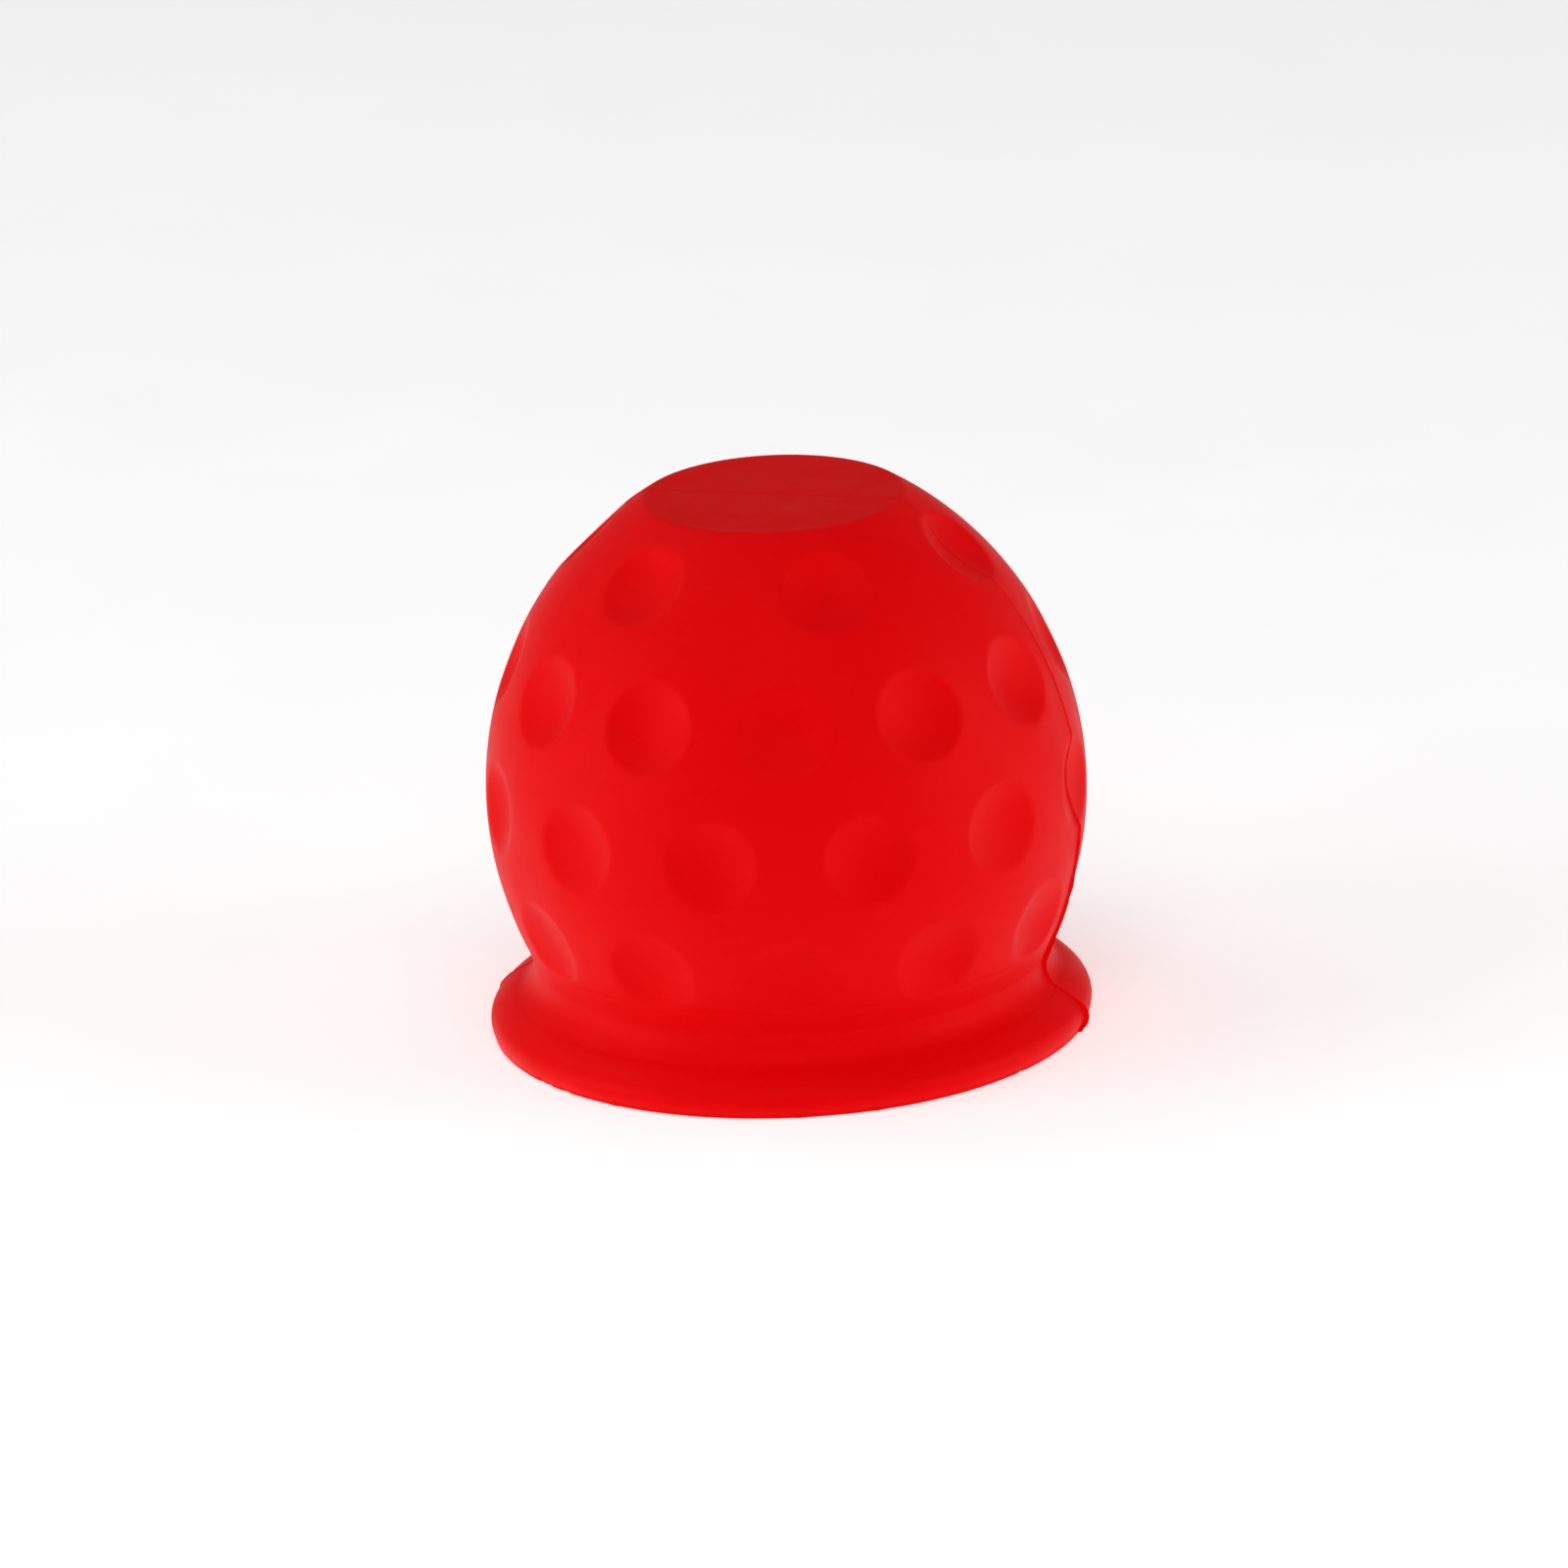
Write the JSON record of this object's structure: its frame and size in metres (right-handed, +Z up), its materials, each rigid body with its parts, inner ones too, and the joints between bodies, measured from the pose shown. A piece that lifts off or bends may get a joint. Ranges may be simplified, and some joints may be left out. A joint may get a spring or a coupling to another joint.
{
  "type": "tow ball cover",
  "caption": "Red soft rubber cap shaped like a golf ball with a flat top, shallow dimples, a narrow collar and a rolled rim, pushed over a trailer's coupling ball.",
  "frame": {"origin": "centre of the face that the cap stands on, under the middle of the rim", "axes": "+Z up along the axis of the dome, from the open mouth to the flat top; the mould's parting line lies in the XZ plane"},
  "size_m": [0.069, 0.0684, 0.0627],
  "materials": {
    "red_rubber": "soft satin, moulded",
    "inner_rubber": "satin, moulded against the core"
  },
  "bodies": {
    "root": {"dome_shell": "red_rubber", "crown_disc": "red_rubber", "neck_collar": "red_rubber", "rim_bead": "red_rubber", "retaining_lip": "inner_rubber", "grip_ribs": "inner_rubber", "crown_boss": "inner_rubber", "mould_flash": "red_rubber"}
  },
  "joints": []
}
